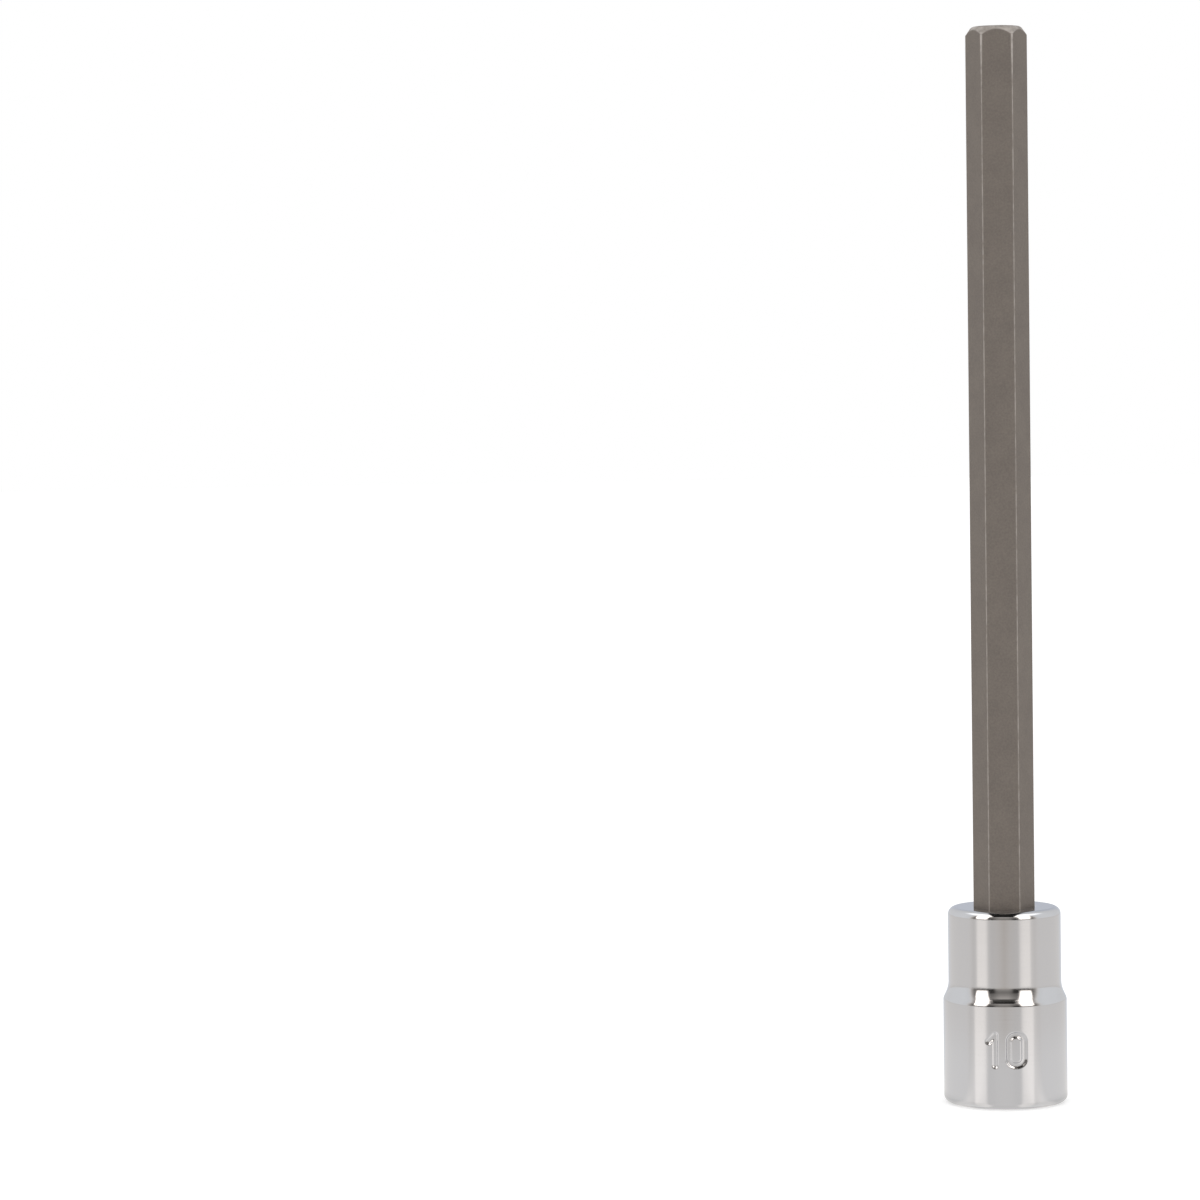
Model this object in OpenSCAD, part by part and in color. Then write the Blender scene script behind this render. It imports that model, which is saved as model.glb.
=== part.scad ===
// Long hex bit socket: a chromed socket body with a square drive in its foot,
// and a replaceable hex bit that a split spring ring holds in the body's collar.
// Millimetres, +Z up. The origin is the centre of the foot that the tool stands on.

/* [Hex bit] */
// Width of the bit across its flats
bit_af = 10; // [8:0.5:12]
// Length of the bit that stands out of the collar
bit_reach = 163.4; // [60:0.1:220]
// How far the bar's six edges are rounded off, measured along the radius
bit_edge_cut = 0.09; // [0.04:0.01:0.3]
// Radial width of the bevel at the tip
tip_bevel_w = 1.14; // [0.6:0.02:2]
// Height of the bevel at the tip
tip_bevel_h = 1.65; // [0.8:0.05:3]
// Rounding where the bevel meets the flat end of the tip
tip_round = 1; // [0.1:0.05:1.5]
// Bevel at the end of the bit that sits in the collar
seat_bevel = 0.7; // [0.3:0.1:1.5]

/* [Socket body] */
// Diameter of the drive section
body_d = 23; // [21.5:0.1:30]
// Diameter of the collar that holds the bit
collar_d = 21; // [18:0.1:21.2]
// Height of the shoulder's lower edge above the end of the bit
shoulder_rise = 0.9; // [-1:0.1:3]
// Height of the sloping shoulder
shoulder_h = 2.1; // [1:0.1:6]
// Rounding of the shoulder's lower edge
shoulder_edge_round = 1.7; // [0.5:0.1:4]
// Hollow rounding where the shoulder meets the collar
shoulder_hollow_round = 5.5; // [1:0.5:8]
// Rounding of the foot's outer edge
foot_round = 1.3; // [0.5:0.1:1.4]
// Rounding of the collar's outer edge
collar_round = 1.4; // [0.4:0.1:2]

/* [Drive recess] */
// Width of the square recess across its flats
drive_af = 12.8; // [9.6:0.1:14]
// Depth of the square recess
drive_depth = 16; // [12:0.5:20]
// How far the square's corners are rounded off, measured along the radius
drive_corner_cut = 0.35; // [0.1:0.05:1]
// How much wider the coned lead-in is than the recess, and narrower where it ends
drive_lead = 0.35; // [0.1:0.05:0.6]
// Height of the coned lead-in
drive_lead_h = 1.7; // [0.8:0.1:3]
// Height of the detent dimples above the foot
detent_h = 8; // [5:0.5:10]
// Radius of the ball-shaped detent dimples
detent_r = 3.2; // [2:0.1:4]
// Depth of the detent dimples below the square's flats
detent_depth = 1; // [0.4:0.1:1.5]

/* [Bit seat] */
// Thickness of the web between the square recess and the bit
web_t = 2.6; // [1.5:0.1:5]
// Height of the cone that ends the square recess
web_cone_h = 0.9; // [0.2:0.1:1.2]
// Width of the ledge on the web that the bit stands on
web_ledge_w = 1.6; // [0.8:0.1:2.5]
// Depth of the hexagonal seat
seat_depth = 18; // [12:0.5:25]
// Clearance on each side between the bit and its seat
seat_gap = 0.03; // [0.01:0.01:0.08]
// How much wider the coned lead-in is than the bit, and narrower where it ends
seat_lead = 0.3; // [0.2:0.05:1]
// Height of the coned lead-in at the top of the seat
seat_lead_h = 1.2; // [0.6:0.1:2.5]

/* [Retaining ring] */
// Thickness of the ring's wire
wire_d = 0.9; // [0.5:0.05:1.2]
// Height of the ring above the end of the bit
ring_h = 4; // [2.5:0.1:8]
// How far the ring springs out past the seat's flats
ring_catch = 0.6; // [0.3:0.05:0.7]
// Width of the split in the ring
ring_split = 2.5; // [1:0.1:6]
// Clearance between the ring and its grooves
ring_play = 0.05; // [0.02:0.01:0.1]

/* [Hidden] */
$fn = 96;
arc_steps = 8;
overrun = 1;
// Most of a side that one corner's rounding may take
round_share = 0.49;
hex_sides = 6;
square_sides = 4;
// Bit, from the web that it stands on to its tip
bit_z = drive_depth + web_t;
shoulder_z = bit_z + shoulder_rise;
collar_z = bit_z + seat_depth;
tip_z = collar_z + bit_reach;
bit_edge_r = corner_r(bit_af, hex_sides) - bit_edge_cut;
tip_face_r = bit_edge_r - tip_bevel_w;
// Seat and web
seat_af = bit_af + 2 * seat_gap;
seat_mouth_r = bit_edge_r + seat_lead;
web_hole_r = bit_af / 2 - web_ledge_w;
web_cone_r = drive_af / 2 - drive_lead;
// Drive recess
drive_corner_r = corner_r(drive_af, square_sides) - drive_corner_cut;
drive_mouth_r = drive_corner_r + drive_lead;
// Ring, and its grooves in the bit and in the seat
ring_z = bit_z + ring_h;
groove_w = wire_d + 2 * ring_play;
ring_outer_r = seat_af / 2 + ring_catch;
ring_mid_r = ring_outer_r - wire_d / 2;
bit_groove_r = bit_af / 2 - wire_d - ring_play;
seat_groove_r = ring_outer_r + ring_play;

// Radius to the corners of a polygon that is af wide across its flats
function corner_r(af, sides) = af / 2 / cos(180 / sides);

// Arc that rounds the corner b, between its neighbours a and c, to radius r or to
// what the shorter of its two sides has room for
function corner(a, b, c, r) =
    r == 0 ? [b] :
    let (
        to_a = (a - b) / norm(a - b),
        to_c = (c - b) / norm(c - b),
        half = acos(to_a * to_c) / 2,
        reach = min(r / tan(half), round_share * min(norm(a - b), norm(c - b))),
        centre = b + (to_a + to_c) / norm(to_a + to_c) * reach / cos(half),
        spoke = b + to_a * reach - centre,
        sweep = sign(cross(to_c, to_a)) * (180 - 2 * half)
    )
    [for (i = [0 : arc_steps]) centre + turned(spoke, sweep * i / arc_steps)];

function turned(p, angle) =
    [p.x * cos(angle) - p.y * sin(angle), p.x * sin(angle) + p.y * cos(angle)];

// Outline with each corner rounded to its own radius
function rounded(points, radii) =
    let (n = len(points))
    [for (i = [0 : n - 1]) each corner(points[(i + n - 1) % n], points[i], points[(i + 1) % n], radii[i])];

// Upright prism on a regular polygon, af wide across its flats
module prism(sides, af, h) {
    cylinder(r = corner_r(af, sides), h = h, $fn = sides);
}

// Cone that opens a hole at a face at z = 0: mouth_r wide there, end_r wide h further in
module lead_in(mouth_r, end_r, h) {
    flare = (mouth_r - end_r) / h * overrun;
    translate([0, 0, -overrun])
        cylinder(r1 = mouth_r + flare, r2 = end_r, h = h + overrun);
}

// Half section of the body's outside: foot, drive section, shoulder, collar
module body_blank() {
    rotate_extrude()
        polygon(rounded(
            [
                [0, 0],
                [body_d / 2, 0],
                [body_d / 2, shoulder_z],
                [collar_d / 2, shoulder_z + shoulder_h],
                [collar_d / 2, collar_z],
                [0, collar_z]
            ],
            [0, foot_round, shoulder_edge_round, shoulder_hollow_round, collar_round, 0]
        ));
}

// Square recess for the driver, with its coned lead-in, dimples and coned end
module drive_recess() {
    intersection() {
        translate([0, 0, -overrun])
            rotate(180 / square_sides)
                prism(square_sides, drive_af, drive_depth + overrun);
        translate([0, 0, -overrun])
            cylinder(r = drive_corner_r, h = drive_depth + overrun);
    }
    lead_in(drive_mouth_r, drive_af / 2 - drive_lead, drive_lead_h);
    for (side = [0 : square_sides - 1])
        rotate(360 / square_sides * side)
            translate([drive_af / 2 + detent_depth - detent_r, 0, detent_h])
                sphere(r = detent_r);
    translate([0, 0, drive_depth])
        cylinder(r1 = web_cone_r, r2 = web_hole_r, h = web_cone_h);
}

// Hexagonal seat for the bit, with its coned lead-in and the ring's groove
module bit_seat() {
    translate([0, 0, bit_z])
        prism(hex_sides, seat_af, seat_depth + overrun);
    translate([0, 0, collar_z])
        mirror([0, 0, 1])
            lead_in(seat_mouth_r, seat_af / 2 - seat_lead, seat_lead_h);
    translate([0, 0, ring_z - groove_w / 2])
        cylinder(r = seat_groove_r, h = groove_w);
}

module socket_body() {
    color([0.76, 0.76, 0.77])
        difference() {
            body_blank();
            drive_recess();
            translate([0, 0, drive_depth])
                cylinder(r = web_hole_r, h = web_t + overrun);
            bit_seat();
        }
}

// Hexagonal bar, cut by the turned outline that bevels its ends and rounds its edges
module hex_bit() {
    color([0.47, 0.44, 0.41])
        difference() {
            intersection() {
                translate([0, 0, bit_z])
                    prism(hex_sides, bit_af, tip_z - bit_z);
                rotate_extrude()
                    polygon(rounded(
                        [
                            [0, bit_z],
                            [bit_edge_r - seat_bevel, bit_z],
                            [bit_edge_r, bit_z + seat_bevel],
                            [bit_edge_r, tip_z - tip_bevel_h],
                            [tip_face_r, tip_z],
                            [0, tip_z]
                        ],
                        [0, 0, 0, 0, tip_round, 0]
                    ));
            }
            translate([0, 0, ring_z - groove_w / 2])
                difference() {
                    cylinder(r = bit_edge_r + overrun, h = groove_w);
                    cylinder(r = bit_groove_r, h = groove_w);
                }
        }
}

// Split ring of round spring wire
module retaining_ring() {
    split_angle = 2 * asin(ring_split / 2 / ring_mid_r);
    color([0.36, 0.36, 0.38])
        translate([0, 0, ring_z])
            rotate(split_angle / 2)
                rotate_extrude(angle = 360 - split_angle)
                    translate([ring_mid_r, 0])
                        circle(d = wire_d);
}

socket_body();
hex_bit();
retaining_ring();
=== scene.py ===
"""Dresses a long hex bit socket: chromed body, blasted hex bit and the spring ring that holds it."""

from math import cos, degrees, log, pi, radians, tan

import bpy
import numpy as np
from bpy.props import FloatProperty, FloatVectorProperty, IntProperty, PointerProperty
from mathutils import Matrix, Vector


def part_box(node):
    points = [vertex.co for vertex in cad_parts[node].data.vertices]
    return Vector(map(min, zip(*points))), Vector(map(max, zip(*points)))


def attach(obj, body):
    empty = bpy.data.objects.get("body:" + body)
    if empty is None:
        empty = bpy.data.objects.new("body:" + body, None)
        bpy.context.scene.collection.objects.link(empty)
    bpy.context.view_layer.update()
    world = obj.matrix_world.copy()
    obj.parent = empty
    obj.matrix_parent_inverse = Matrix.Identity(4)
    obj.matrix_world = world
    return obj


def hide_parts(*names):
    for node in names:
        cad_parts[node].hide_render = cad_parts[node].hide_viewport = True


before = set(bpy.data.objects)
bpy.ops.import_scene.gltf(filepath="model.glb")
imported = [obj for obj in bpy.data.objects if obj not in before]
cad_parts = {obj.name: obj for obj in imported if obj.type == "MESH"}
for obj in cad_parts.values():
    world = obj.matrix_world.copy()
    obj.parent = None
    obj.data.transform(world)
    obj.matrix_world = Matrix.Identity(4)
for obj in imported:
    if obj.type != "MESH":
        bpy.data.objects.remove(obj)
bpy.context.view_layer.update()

bl_info = {
    "name": "Hex Bit Socket",
    "version": (1, 0, 0),
    "blender": (4, 5, 0),
    "location": "3D View > Sidebar > Socket",
    "description": "Chromed socket body, blasted hex bit and retaining ring, with finishes and a stage",
    "category": "Add Mesh",
}

MM = 0.001
BODY_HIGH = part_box("socket_body")[1]
BIT_LOW, BIT_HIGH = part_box("hex_bit")
RING_LOW, RING_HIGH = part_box("retaining_ring")
HEX_SIDES = 6
SQUARE_SIDES = 4
# Steps of an arc, and the rounding up to which the coarse ones do
FINE_ARC, COARSE_ARC, SMALL_ROUNDING = 12, 4, 0.3 * MM
# Distance of the first row beside an arc, growth of the next ones, and their largest share of a stretch
FIRST_ROW, ROW_GROWTH, NEAR_SHARE = 0.04 * MM, 3.0, 0.4
# Largest distances between rows over the number, a dimple, a bevel, the tip, a wall, the seat and the flats
STAMP_PITCH, DIMPLE_PITCH, BEVEL_PITCH, TIP_PITCH = 0.1 * MM, 0.2 * MM, 0.3 * MM, 0.5 * MM
WALL_PITCH, SEAT_PITCH, FLAT_PITCH = 1.6 * MM, 3 * MM, 4 * MM
# Reach of a dimple's close rows, as a share of its ball's radius, and middle ring of the bit's end faces
DIMPLE_REACH, MIDDLE_R = 0.8, 0.3 * MM
# Columns over an edge of the bit, over the wear beside it, and over the rest of a flat
EDGE_COLUMNS, WEAR_COLUMNS, FLAT_COLUMNS = 8, 5, 14
# Steps along the ring, over a rounded end of its wire and round the wire, and round and across the floor
RING_STEPS, END_STEPS, WIRE_STEPS, FLOOR_COLUMNS, FLOOR_RINGS = 181, 7, 32, 128, 24
# Bright metal, where 1 is full: wear along edges and what the tip adds, ground metal with a painted
# highlight on the bevel, wear on the tip's rim, and how much wider the edges' wear is at the tip
EDGE_WEAR, TIP_WEAR, BEVEL_GROUND_AND_HIGHLIGHT, RIM_WEAR, TIP_SPREAD = 0.75, 0.6, 0.75, 0.7, 0.8
# Depths over which the plating gets thin, the edges' wear starts, and the dark end face ends
THIN_DEPTHS, WEAR_DEPTHS, END_DEPTHS = (0.3 * MM, 1.5 * MM), (-0.1 * MM, 0.2 * MM), (0.3 * MM, 0.05 * MM)
# In the ramps and spans below, angles are in degrees, and levels are radiances, where 1 is white
HALF_TURN = 180
QUARTER_TURN = 90
# Level of the room over the camera by height, and of its walls by the angle from the room's front
ROOM_FRONT = ((0, 0.48), (5, 0.38), (10, 0.29), (15, 0.29), (23, 0.39), (31, 0.5), (38, 0.62), (39, 0.5),
              (40.4, 0.03))
ROOM_WALLS = ((57.5, 0.22), (63, 0.3), (67.5, 0.6), (73, 1), (90, 1.06), (120, 1.03), (150, 0.92), (166, 0.8),
              (180, 0.68))
# Share of the level over the camera that is left beside it, and level of the dark foot of a soft box
OFF_MIDDLE, BOX_FEET = 0.6, 0.06
# Heights over which a soft box's inner edge becomes that of its upper part, and over which its edges get
# sharper, how soft they are below and above that, and how far its outer edge leans out for each degree up
BOX_UPPER, BOX_SHARPER, BOX_SOFTNESS, BOX_LEAN = (42, 44.5), (8, 25), (0.06, 0.03), 0.25
# Share of the far floor's tint, a painted shade, by the angle from the floor's front, and by the distance
FLOOR_SIDEWAYS = ((0, 1), (12, 0.65), (20, 0.5), (30, 0.38), (80, 0.37), (155, 0.37), (172, 0.7))
FLOOR_OUTWARD = ((70 * MM, 0), (130 * MM, 0.62), (230 * MM, 0.62), (600 * MM, 1))
# Level of the lit stripes by the angle, and the angles and distances over which the other tints come in
FLOOR_STRIPES = ((27, 0), (40, 0.19), (52, 0.19), (64, 0))
FLOOR_BEHIND, FLOOR_BESIDE, FLOOR_CLOSE = (130, 172), (5, 45), (23 * MM, 12.5 * MM)


def linear(code):
    """Linear red, green and blue of an sRGB colour, given as six hex digits."""
    value = np.array([int(code[i : i + 2], 16) for i in (0, 2, 4)]) / 255
    return tuple(np.where(value <= 0.04045, value / 12.92, ((value + 0.055) / 1.055) ** 2.4))


def length(name, description, default):
    """A length, in metres."""
    return FloatProperty(
        name=name, description=description, default=default, min=0, unit="LENGTH", precision=5
    )


def amount(name, description, default):
    """A radiance, where 1 is white, or another plain amount."""
    return FloatProperty(name=name, description=description, default=default, min=0)


def colour(name, description, code):
    """An opaque colour, given as sRGB hex digits and kept linear."""
    return FloatVectorProperty(
        name=name, description=description, default=(*linear(code), 1), min=0, max=1, size=4, subtype="COLOR"
    )


def angle(name, description, value):
    """An angle, given in degrees and kept in radians."""
    return FloatProperty(name=name, description=description, default=radians(value), unit="ROTATION")


def plane(name, description, default):
    """A plane through the tool, given by the direction square to it."""
    return FloatVectorProperty(name=name, description=description, default=default, subtype="DIRECTION")


class BodySizes(bpy.types.PropertyGroup):
    """Sizes of the chromed body. The outer ones come from the frame."""

    radius: length("Drive Section Radius", "Radius of the drive section", BODY_HIGH.x)
    height: length("Height", "Height of the body", BODY_HIGH.z)
    collar_r: length("Collar Radius", "Radius of the collar that holds the bit", 10.5 * MM)
    foot_round: length("Foot Rounding", "Rounding of the foot's outer edge", 1.3 * MM)
    collar_round: length("Collar Rounding", "Rounding of the collar's outer edge", 1.4 * MM)
    shoulder_z: length("Shoulder Height", "Height of the shoulder's lower edge", BIT_LOW.z + 0.9 * MM)
    shoulder_h: length("Shoulder Slope", "Height of the sloping shoulder", 2.1 * MM)
    edge_round: length("Shoulder Edge", "Rounding of the shoulder's lower edge", 1.7 * MM)
    hollow_round: length("Shoulder Hollow", "Hollow rounding between shoulder and collar", 5.5 * MM)
    square_half: length("Square Half Width", "Half the square recess's width across flats", 6.4 * MM)
    square_depth: length("Square Depth", "Depth of the square recess", 16 * MM)
    square_round: length("Square Corner", "Rounding of the square recess's corners", 0.85 * MM)
    square_mouth_r: length("Square Mouth", "Radius of the coned lead-in at the foot", 9.05 * MM)
    square_lead_r: length("Square Lead-in End", "Radius at which the lead-in's cone would end", 6.05 * MM)
    square_lead_h: length("Square Lead-in", "Height of the coned lead-in", 1.7 * MM)
    dimple_z: length("Dimple Height", "Height of the detent dimples above the foot", 8 * MM)
    dimple_r: length("Dimple Ball", "Radius of the ball that fits a detent dimple", 3.2 * MM)
    dimple_depth: length("Dimple Depth", "Depth of the dimples below the square's flats", 1 * MM)
    web_cone_r: length("Web Cone", "Radius at which the web's cone starts", 6.05 * MM)
    web_cone_h: length("Web Cone Height", "Height of the web's cone", 0.9 * MM)
    web_hole_r: length("Web Hole", "Radius of the hole in the web", 3.4 * MM)
    seat_half: length("Seat Half Width", "Half the seat's width across flats", BIT_HIGH.y + 0.03 * MM)
    seat_mouth_r: length("Seat Mouth", "Radius of the coned lead-in at the collar", BIT_HIGH.x + 0.3 * MM)
    seat_lead_r: length("Seat Lead-in End", "Radius at which the lead-in's cone would end", 4.73 * MM)
    seat_lead_h: length("Seat Lead-in", "Height of the coned lead-in at the collar", 1.2 * MM)
    groove_r: length("Ring Groove", "Radius of the ring's groove in the seat", RING_HIGH.y + 0.05 * MM)
    play: length("Groove Play", "Clearance between the ring and its groove", 0.05 * MM)
    edge_break: length("Edge Break", "Small rounding of the machined edges", 0.12 * MM)
    columns: IntProperty(name="Columns", description="Points round the body", default=352, min=96, max=720)


class MarkSizes(bpy.types.PropertyGroup):
    """Sizes of the stamped size number, which is the bit's width across flats in millimetres."""

    centre_z: length("Mark Height", "Height of the number's middle above the foot", 11.2 * MM)
    digit_h: length("Digit Height", "Height of a digit between its stroke ends", 5.6 * MM)
    digit_w: length("Digit Width", "Width of the round digit between its strokes", 2.9 * MM)
    gap: length("Digit Gap", "Space between the digits' strokes", 2.5 * MM)
    flag: length("Flag", "Length of the one's flag, across and down", 1.2 * MM)
    corner: length("Digit Corner", "Corner rounding of the round digit", 1.25 * MM)
    stroke: length("Stroke", "Width of the stamped stroke", 1.3 * MM)
    bank: length("Bank", "Width of the stroke's sloping sides", 0.4 * MM)
    depth: length("Depth", "Depth of the stamped stroke", 0.28 * MM)
    margin: length("Margin", "Finely divided space round the number", 0.4 * MM)


class BitSizes(bpy.types.PropertyGroup):
    """Sizes of the hexagonal bit. The outer ones come from the frame."""

    half: length("Half Width", "Half the bit's width across flats", BIT_HIGH.y)
    edge_r: length("Edge Radius", "Distance of the rounded edges from the axis", BIT_HIGH.x)
    low_z: length("Lower End", "Height of the seated end", BIT_LOW.z)
    tip_z: length("Tip", "Height of the tip", BIT_HIGH.z)
    bevel_w: length("Bevel Width", "Radial width of the bevel at the tip", 1.14 * MM)
    bevel_h: length("Bevel Height", "Height of the bevel at the tip", 1.65 * MM)
    tip_round: length("Tip Rounding", "Rounding between the bevel and the tip's flat end", 1 * MM)
    seat_bevel: length("Seat Bevel", "Bevel at the seated end", 0.7 * MM)
    groove_floor_r: length("Groove Floor", "Radius of the floor of the ring's groove", 4.05 * MM)
    play: length("Groove Play", "Clearance between the ring and its groove", 0.05 * MM)
    edge_break: length("Edge Break", "Small rounding where the bevel cuts the flats", 0.18 * MM)
    wear_w: length("Wear Width", "How far the wear reaches from an edge", 0.1 * MM)
    tip_wear: length("Tip Wear", "Length below the tip over which the edges are worn most", 12 * MM)


class RingSizes(bpy.types.PropertyGroup):
    """Sizes of the split spring ring, from the frame."""

    wire_r: length("Wire Radius", "Radius of the ring's wire", (RING_HIGH.z - RING_LOW.z) / 2)
    centre_z: length("Height", "Height of the ring", (RING_HIGH.z + RING_LOW.z) / 2)
    outer_r: length("Outer Radius", "Outer radius of the ring", RING_HIGH.y)
    split: length("Split", "Width of the split, between the middles of the wire's ends", 2.5 * MM)
    end_round: length("End Rounding", "Rounding of the cut ends", 0.15 * MM)


class Finishes(bpy.types.PropertyGroup):
    """Colours of the finishes."""

    chrome: colour("Chrome", "Polished chrome plate", "C4C5C8")
    nickel: colour("Nickel", "Thin, dull plating inside the recess and the seat", "B6B3AE")
    steel: colour("Blasted Steel", "Blasted and hardened steel", "847C74")
    steel_dark: colour("Steel, Dark Grain", "Darker grain of the blasted steel", "78706A")
    # Also laid on the bevel, as ground metal and a painted highlight
    steel_worn: colour("Steel, Worn", "Bright metal at the worn edges", "C4BDB7")
    steel_end: colour("Steel, End Face", "Darker end face of the tip", "6A625B")
    spring: colour("Spring Wire", "Drawn spring wire", "77767A")
    floor: colour("Floor", "Pale floor", "F0F0F0")
    floor_near: colour("Floor in Metal, Near", "The floor near the tool, in metal", "F2EFEC")
    floor_shade: colour("Floor in Metal, Shaded", "The floor close beside the foot, in metal", "DEDCD9")
    floor_far: colour("Floor in Metal, Far", "The far floor on the camera's side, in metal", "C8BEB3")
    floor_back: colour("Floor in Metal, Back", "The floor behind the tool, in metal", "D6DAE1")
    room_warm: colour("Room, Warm", "Tint of the room on the camera's side", "FFF6ED")
    room_side: colour("Room, Side", "Tint of the room beside the tool", "FAFAFA")
    room_cool: colour("Room, Cool", "Tint of the room behind the tool", "EFF4FF")


class StageSizes(bpy.types.PropertyGroup):
    """Floor, studio and camera. Only metal mirrors the studio, which has a tall soft box on each side of
    the camera and a lit ceiling."""

    floor_r: length("Floor Radius", "Radius of the floor", 4.0)
    hole_r: length("Floor Opening", "Radius of the opening under the hollow foot", 9 * MM)
    foot_gap: length("Foot Gap", "Space between the foot's plane and the floor's", 0.05 * MM)
    floor_sheen: amount("Floor Sheen", "How much of the studio the floor mirrors, in metal", 0.125)
    sheen_roughness: amount("Sheen Roughness", "Roughness of the floor's sheen, in metal", 0.12)
    floor_glow: amount("Floor Glow", "Light that the floor gives the camera, so that its shadow is pale", 0.4)
    box_edge: plane("Soft Box Edge", "Plane of a soft box's inner edge", (0.841, 0.541, 0))
    box_high_edge: plane("Soft Box Upper Edge", "Plane of its upper inner edge", (0.946, 0.161, -0.28))
    rear_edge: plane("Ceiling Edge", "Plane of the lit ceiling's rear edge", (0.79, -0.54, -0.28))
    room_turn: angle("Room Turn", "How far the room's front is turned to the left of the tool's", 3.3)
    floor_turn: angle("Floor Turn", "How far the floor's front is turned to the left of the tool's", 1.5)
    box_end: angle("Soft Box End", "Angle from the room's front to a soft box's outer edge", 54.5)
    box_radiance: amount("Soft Box Radiance", "Radiance of the soft boxes", 3)
    ceiling_radiance: amount("Ceiling Radiance", "Radiance of the lit ceiling", 2.6)
    even_radiance: amount("Even Radiance", "Radiance of the room that lights matt surfaces", 0.85)
    camera_place: FloatVectorProperty(
        name="Camera Place",
        description="Where the camera stands, in the tool's frame",
        default=(-14.8 * MM, -860.7 * MM, 141.8 * MM),
        subtype="TRANSLATION",
        precision=4,
    )
    camera_pitch: angle("Camera Pitch", "How far the camera looks down", 3.13)
    camera_yaw: angle("Camera Yaw", "How far the camera looks to the left", 3.99)
    camera_roll: angle("Camera Roll", "How far the camera leans", 0.81)
    lens: FloatProperty(name="Lens", description="Focal length in millimetres", default=138.48, min=1)


def unit(vectors):
    """The same directions, one long."""
    return vectors / np.maximum(np.linalg.norm(vectors, axis=-1, keepdims=True), 1e-12)


def smooth(low, high, values):
    """0 below low and 1 above high, with a smooth cubic step between them."""
    share = np.clip((values - low) / (high - low), 0, 1)
    return share * share * (3 - 2 * share)


def from_nearest(turns, sector):
    """Angles from the nearest of the directions that lie a sector apart, starting at 0."""
    return (turns + sector / 2) % sector - sector / 2


def polygon_r(turns, half, sides, rounding=0):
    """Distance of a regular polygon's outline from its centre, in the directions turns. A flat lies at half
    / cos of the angle from its middle. Within a rounded corner the outline is a circle that touches both
    flats."""
    sector = 2 * pi / sides
    from_corner = from_nearest(turns, sector)
    flat = half / np.cos(sector / 2 - abs(from_corner))
    if rounding == 0:
        return flat
    centre = (half - rounding) / cos(sector / 2)
    across = centre * np.sin(from_corner)
    arc = centre * np.cos(from_corner) + np.sqrt(np.maximum(rounding**2 - across**2, 0))
    tangent = sector / 2 - np.arctan((half - rounding) * tan(sector / 2) / half)
    return np.where(abs(from_corner) < tangent, arc, flat)


def corner(r, z, turns, rounding=0, pitch=1 * MM):
    """Corner of a profile at radius r and height z, which may vary with the direction. pitch is the largest
    distance between the rows on the way to the next corner."""
    place = np.stack(np.broadcast_arrays(r, z, turns), axis=-1).astype(float)
    return place, rounding, pitch


def rounded(before, at, after, rounding):
    """Rows of an arc that touches both sides of a corner: its centre lies on the line that halves the
    corner, and the spoke turns evenly from one touching point to the other."""
    if rounding == 0:
        return at[None]
    steps = FINE_ARC if rounding > SMALL_ROUNDING else COARSE_ARC
    to_before, to_after = unit((before - at)[..., :2]), unit((after - at)[..., :2])
    half = np.arccos(np.clip((to_before * to_after).sum(-1), -1, 1)) / 2
    reach = (rounding / np.tan(half))[..., None]
    middle = unit(to_before + to_after) * (rounding / np.sin(half))[..., None]
    start, end = unit(to_before * reach - middle), unit(to_after * reach - middle)
    sweep = (pi - 2 * half)[..., None]
    share = np.linspace(0, 1, steps + 1)[:, None, None]
    spoke = (np.sin((1 - share) * sweep) * start + np.sin(share * sweep) * end) / np.sin(sweep)
    arc = np.repeat(at[None], steps + 1, axis=0)
    arc[..., :2] += middle + rounding * spoke
    return arc


def straight(start, end, pitch, arc_before, arc_after):
    """Rows between two others, without them. Next to an arc they are close together, and three times as far
    apart each time, so that its shading ends where the arc does. Further off they are the pitch apart."""
    span = np.linalg.norm((end - start)[..., :2], axis=-1).mean()
    growths = max(int(log(pitch / FIRST_ROW, ROW_GROWTH)), 0)
    near = np.cumsum(FIRST_ROW * ROW_GROWTH ** np.arange(growths + 1))
    near = near[near < NEAR_SHARE * span]
    first = near if arc_before else near[:0]
    last = span - near[::-1] if arc_after else near[:0]
    low, high = np.append(0, first)[-1], np.append(last, span)[0]
    count = max(int(np.ceil((high - low) / pitch)), 1)
    middle = np.linspace(low, high, count + 1)[1:-1]
    share = np.concatenate([first, middle, last])[:, None, None] / span
    return start + share * (end - start)


def profile_rows(corners, closed):
    """Rows of (r, z, turn) along a profile: an arc at each corner, and straight stretches between the
    arcs."""
    count = len(corners)
    places = [place for place, rounding, pitch in corners]
    arcs = [
        rounded(places[i - 1], places[i], places[(i + 1) % count], rounding)
        for i, (place, rounding, pitch) in enumerate(corners)
    ]
    rows = []
    for i, (place, rounding, pitch) in enumerate(corners):
        rows.append(arcs[i])
        if closed or i < count - 1:
            after = (i + 1) % count
            rows.append(straight(arcs[i][-1], arcs[after][0], pitch, rounding > 0, corners[after][1] > 0))
    return np.concatenate(rows)


def revolved(rows):
    """Points of rows of (r, z, turn): r cos turn, r sin turn, z."""
    r, z, turn = np.moveaxis(rows, -1, 0)
    return np.stack([r * np.cos(turn), r * np.sin(turn), z], axis=-1)


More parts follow.
